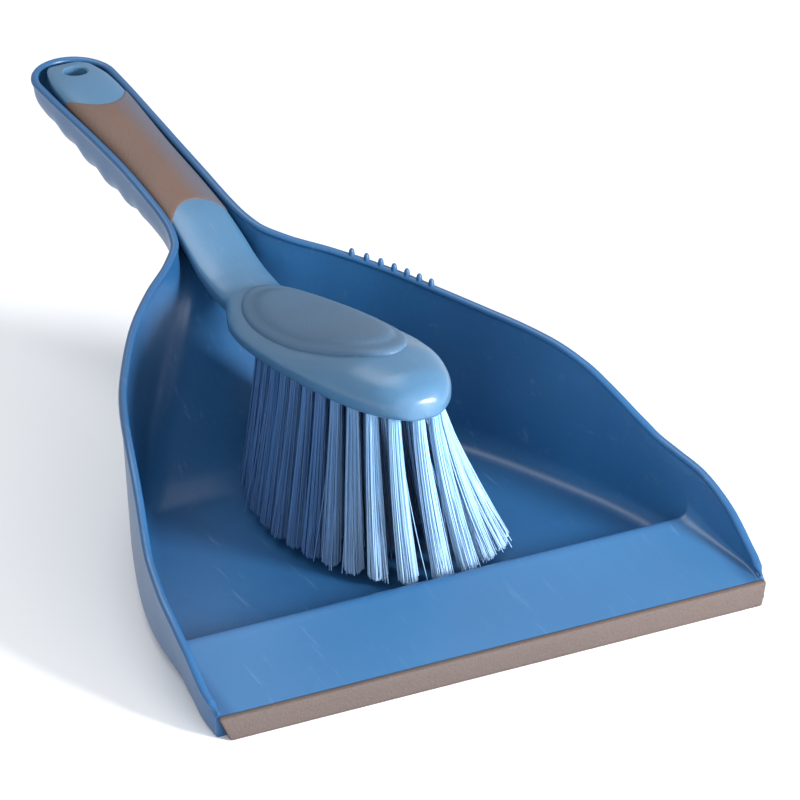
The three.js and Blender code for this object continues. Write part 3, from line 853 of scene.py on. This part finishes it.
def tuft_tip(x, y):
    """Tips spread outwards and lean to +X; use has splayed the front right tufts."""
    across, along = x / TUFT_RINGS[0][1], (y - TUFT_MIDDLE) / TUFT_RINGS[0][0]
    front = clamp(-along)
    splay = max(across, 0.0) * math.sin(math.pi * min(front, 0.98))
    tip_x = x + across * FLARE + LEAN + front * NOSE_LEAN + splay * SPLAY
    tip_y = y + max(along, 0.0) * 5 - front * 2 - splay * SWEEP
    tip_z = max(TIP_HEIGHT, underside(tip_y + TIP_RADIUS) + FLOOR_THICK + TIP_CLEAR)
    return tip_x, tip_y, tip_z


print("tufts", len(outer_places) + len(inner_places))


# %% The bristle tree
def tree_input(tree, name, kind, default=None):
    socket = tree.interface.new_socket(name, in_out="INPUT", socket_type=kind)
    if default is not None:
        socket.default_value = default
    return socket.identifier


bristle_tree = bpy.data.node_groups.new("bristle_bundles", "GeometryNodeTree")
bristle_tree.is_modifier = True
tree_input(bristle_tree, "Tuft points", "NodeSocketGeometry")
COUNT_IN = tree_input(bristle_tree, "Bristles in a tuft", "NodeSocketInt", 60)
THICK_IN = tree_input(bristle_tree, "Bristle radius", "NodeSocketFloat", 0.0002)
ROOT_IN = tree_input(bristle_tree, "Root radius", "NodeSocketFloat", ROOT_RADIUS * MM)
TIP_IN = tree_input(bristle_tree, "Tip radius", "NodeSocketFloat", TIP_RADIUS * MM)
SEED_IN = tree_input(bristle_tree, "Seed", "NodeSocketInt", 1)
FINISH_IN = tree_input(bristle_tree, "Finish", "NodeSocketMaterial")
bristle_tree.interface.new_socket("Bristles", in_out="OUTPUT", socket_type="NodeSocketGeometry")


def tree_node(kind, settings=None, **sockets):
    made = bristle_tree.nodes.new(kind)
    for key, value in (settings or {}).items():
        setattr(made, key, value)
    for key, value in sockets.items():
        socket = made.inputs[int(key[1:]) if key[1:].isdigit() else key.replace("_", " ")]
        if isinstance(value, bpy.types.NodeSocket):
            bristle_tree.links.new(value, socket)
        else:
            socket.default_value = value
    return made


def tree_math(operation, first, second=0.0):
    return tree_node("ShaderNodeMath", {"operation": operation}, s0=first, s1=second).outputs[0]


def tree_vector(operation, first, second=None, scale=None):
    made = tree_node("ShaderNodeVectorMath", {"operation": operation}, s0=first)
    if second is not None:
        if isinstance(second, bpy.types.NodeSocket):
            bristle_tree.links.new(second, made.inputs[1])
        else:
            made.inputs[1].default_value = second
    if scale is not None:
        if isinstance(scale, bpy.types.NodeSocket):
            bristle_tree.links.new(scale, made.inputs["Scale"])
        else:
            made.inputs["Scale"].default_value = scale
    return made.outputs[0]


def tree_random(low, high, offset):
    seed = tree_math("ADD", source.outputs["Seed"], offset)
    return tree_node("FunctionNodeRandomValue", {"data_type": "FLOAT"}, s2=low, s3=high, Seed=seed).outputs[1]


def named(name, kind):
    return tree_node("GeometryNodeInputNamedAttribute", {"data_type": kind}, Name=name).outputs["Attribute"]


def stored(geometry, name, kind, value, domain="POINT"):
    made = tree_node(
        "GeometryNodeStoreNamedAttribute", {"data_type": kind, "domain": domain},
        Geometry=geometry, Name=name, Value=value,
    )
    return made.outputs["Geometry"]


source = tree_node("NodeGroupInput")
points = tree_node("GeometryNodeMeshToPoints", Mesh=source.outputs["Tuft points"]).outputs[0]
many = tree_node(
    "GeometryNodeDuplicateElements", {"domain": "POINT"},
    Geometry=points, Amount=source.outputs["Bristles in a tuft"],
).outputs["Geometry"]
angle = tree_random(0.0, 2 * math.pi, 0.0)
reach = tree_math("SQRT", tree_random(0.0, 1.0, 11.0))
disc = tree_node(
    "ShaderNodeCombineXYZ",
    X=tree_math("MULTIPLY", reach, tree_math("COSINE", angle)),
    Y=tree_math("MULTIPLY", reach, tree_math("SINE", angle)),
).outputs[0]
stray = tree_math("GREATER_THAN", tree_random(0.0, 1.0, 23.0), 0.985)
wander = tree_math("ADD", 0.0004, tree_math("MULTIPLY", stray, 0.0050))
jitter = tree_node(
    "ShaderNodeCombineXYZ",
    X=tree_random(-1.0, 1.0, 31.0), Y=tree_random(-1.0, 1.0, 37.0), Z=0.0,
).outputs[0]
here = tree_node("GeometryNodeInputPosition").outputs[0]
begin = tree_vector("ADD", here, tree_vector("SCALE", disc, scale=source.outputs["Root radius"]))
spread = tree_vector("SCALE", disc, scale=source.outputs["Tip radius"])
finish_at = tree_vector("ADD", named("tip", "FLOAT_VECTOR"), spread)
finish_at = tree_vector("ADD", finish_at, tree_vector("SCALE", jitter, scale=wander))
# the middle of a bundle reaches lowest, so its end is a soft lobe, and lengths differ a little
short = tree_math("MULTIPLY", tree_math("POWER", reach, 3.0), 0.0022)
short = tree_math("ADD", short, tree_random(0.0, 0.0010, 41.0))
finish_at = tree_vector("ADD", finish_at, tree_node("ShaderNodeCombineXYZ", Z=short).outputs[0])
many = stored(many, "begin", "FLOAT_VECTOR", begin)
many = stored(many, "finish", "FLOAT_VECTOR", finish_at)
many = stored(many, "tone", "FLOAT", tree_random(0.0, 1.0, 53.0))
many = stored(many, "bow", "FLOAT", tree_random(-0.0009, 0.0009, 61.0))

line = tree_node("GeometryNodeCurvePrimitiveLine", s0=(0, 0, 0), s1=(0, 0, 1)).outputs[0]
line = tree_node("GeometryNodeResampleCurve", {"mode": "COUNT"}, Curve=line, Count=7).outputs[0]
placed = tree_node("GeometryNodeInstanceOnPoints", Points=many, Instance=line).outputs[0]
curves = tree_node("GeometryNodeRealizeInstances", Geometry=placed).outputs[0]
step = tree_node("GeometryNodeSplineParameter").outputs["Factor"]
curves = stored(curves, "along", "FLOAT", step)
span = tree_vector("SUBTRACT", named("finish", "FLOAT_VECTOR"), named("begin", "FLOAT_VECTOR"))
parts = tree_node("ShaderNodeSeparateXYZ", Vector=span)
eased = tree_math("POWER", step, 1.25)
bend = tree_math("MULTIPLY", named("bow", "FLOAT"), tree_math("SINE", tree_math("MULTIPLY", step, math.pi)))
moved = tree_node(
    "ShaderNodeCombineXYZ",
    X=tree_math("ADD", tree_math("MULTIPLY", parts.outputs[0], eased), bend),
    Y=tree_math("ADD", tree_math("MULTIPLY", parts.outputs[1], eased), bend),
    Z=tree_math("MULTIPLY", parts.outputs[2], step),
).outputs[0]
place = tree_vector("ADD", named("begin", "FLOAT_VECTOR"), moved)
curves = tree_node("GeometryNodeSetPosition", Geometry=curves, Position=place).outputs[0]
thin = tree_math("SUBTRACT", 1.0, tree_math("MULTIPLY", tree_math("POWER", step, 3.0), 0.35))
ring = tree_node(
    "GeometryNodeCurvePrimitiveCircle", Resolution=4, Radius=source.outputs["Bristle radius"]
).outputs[0]
to_mesh = tree_node("GeometryNodeCurveToMesh", Curve=curves, Profile_Curve=ring, Fill_Caps=True)
if "Scale" in to_mesh.inputs:
    bristle_tree.links.new(thin, to_mesh.inputs["Scale"])
tubes = tree_node("GeometryNodeSetShadeSmooth", Geometry=to_mesh.outputs[0]).outputs[0]
tubes = tree_node("GeometryNodeRealizeInstances", Geometry=tubes).outputs[0]
tubes = tree_node("GeometryNodeSetMaterial", Geometry=tubes, Material=source.outputs["Finish"]).outputs[0]
sink = tree_node("NodeGroupOutput")
bristle_tree.links.new(tubes, sink.inputs["Bristles"])
print("bristle tree nodes", len(bristle_tree.nodes))

# %% [markdown]
# ## Bristle finish
# The bristles are a pale blue, slightly clear plastic. Each one differs a little in tone, and they pale
# towards their tips, so the finish reads attributes that the tree carries: a tone for each bristle, how far
# along it a point is, and how much painted shade its tuft gets. The tufts on the left and in the inner ring
# are painted a deeper blue for the shade that falls on them.

# %% Bristle finish
bristle_finish = Finish("bristle_plastic")
tone = bristle_finish.node("ShaderNodeAttribute", {"attribute_name": "tone"}, output=2)
along = bristle_finish.node("ShaderNodeAttribute", {"attribute_name": "along"}, output=2)
strand = bristle_finish.mix(tone, rgb(106, 162, 212), rgb(158, 199, 233))
strand = bristle_finish.mix(along * 0.45 + tone * 0.10, strand, rgb(190, 218, 241))
# painted shade: the left and inner tufts are darkened towards a deep blue
deep = bristle_finish.node("ShaderNodeAttribute", {"attribute_name": "deep"}, output=2)
strand = bristle_finish.mix(deep * 0.85, strand, rgb(30, 76, 132))
bristle_finish.set(Base_Color=strand, Roughness=tone * 0.15 + 0.32)


# %% Grow the bristles
def grow_bristles(name, places, count, seed, nodes, inner_painted_shade=0.0):
    mesh = bpy.data.meshes.new(name + "_roots")
    roots = [to_frame((x, y, brush_under(y) + ROOT_DEPTH)) for x, y in places]
    mesh.from_pydata(roots, [], [])
    tips = mesh.attributes.new("tip", "FLOAT_VECTOR", "POINT")
    for i, (x, y) in enumerate(places):
        tips.data[i].vector = to_frame(tuft_tip(x, y))
    painted_shade_amounts = mesh.attributes.new("deep", "FLOAT", "POINT")
    # painted shade: tufts on the left, more so further back, and the inner ring are marked to be painted
    # darker
    for i, (x, y) in enumerate(places):
        across, along = x / TUFT_RINGS[0][1], (y - TUFT_MIDDLE) / TUFT_RINGS[0][0]
        side = clamp(-2.6 * across - 1.5 + 1.6 * max(along + 0.5, 0.0))
        painted_shade_amounts.data[i].value = max(side, inner_painted_shade)
    grower = bpy.data.objects.new(name + "_roots", mesh)
    bpy.context.scene.collection.objects.link(grower)
    modifier = grower.modifiers.new("bundles", "NODES")
    modifier.node_group = bristle_tree
    modifier[COUNT_IN] = count
    modifier[THICK_IN] = BRISTLE_RADIUS * MM
    modifier[ROOT_IN] = ROOT_RADIUS * MM
    modifier[TIP_IN] = (TIP_RADIUS - 0.1) * MM
    modifier[SEED_IN] = seed
    modifier[FINISH_IN] = bristle_finish.material
    evaluated = grower.evaluated_get(bpy.context.evaluated_depsgraph_get())
    grown = bpy.data.meshes.new_from_object(evaluated)
    bpy.data.objects.remove(grower)
    piece = bpy.data.objects.new(name, grown)
    bpy.context.scene.collection.objects.link(piece)
    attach(piece, "brush")
    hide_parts(*nodes)
    print(name, "faces", len(grown.polygons))


outer_nodes = ["tuft_%02d" % (i + 1) for i in range(len(outer_places))]
inner_nodes = ["tuft_%02d" % (len(outer_places) + i + 1) for i in range(len(inner_places))]
half_way = len(outer_places) // 2
grow_bristles("bristles_right", outer_places[:half_way], 210, 7, outer_nodes[:half_way])
grow_bristles("bristles_left", outer_places[half_way:], 210, 29, outer_nodes[half_way:])
# the inner ring gets painted shade, for the shade between the outer tufts
grow_bristles("bristles_inner", inner_places, 110, 91, inner_nodes, 0.7)

# %% [markdown]
# ## Comb teeth
# A short row of teeth stands on the right rear rim, for combing fluff out of the bristles. They
# belong to the pan's moulding and share its finish.

# %% Comb teeth
TEETH, TOOTH_PITCH, TOOTH_START, TOOTH_HEIGHT = 7, 4.4, 168.0, 4.0
points, faces = [], []
for i in range(TEETH):
    y = TOOTH_START + i * TOOTH_PITCH
    x, z = rim_half(y) - WALL / 2, rim_height(y) - 1.0
    rows = [(0, 1.35), (TOOTH_HEIGHT * 0.5, 1.2), (TOOTH_HEIGHT * 0.85, 1.0), (TOOTH_HEIGHT, 0.7)]
    rows += [(TOOTH_HEIGHT + 0.3, 0.3)]
    start = len(points)
    for h, r in rows:
        for k in range(12):
            a = 2 * math.pi * k / 12
            points.append((x + r * math.cos(a), y + r * math.sin(a), z + h))
    for row in range(len(rows) - 1):
        for k in range(12):
            a, b = start + row * 12 + k, start + row * 12 + (k + 1) % 12
            faces.append((a, b, b + 12, a + 12))
    faces.append(tuple(range(start, start + 12)))
    faces.append(tuple(range(start + (len(rows) - 1) * 12, start + len(rows) * 12)))
teeth = mesh_object("comb_teeth", points, faces)
teeth.data.materials.append(pan_plastic)
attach(teeth, "dustpan")
print("teeth", TEETH)
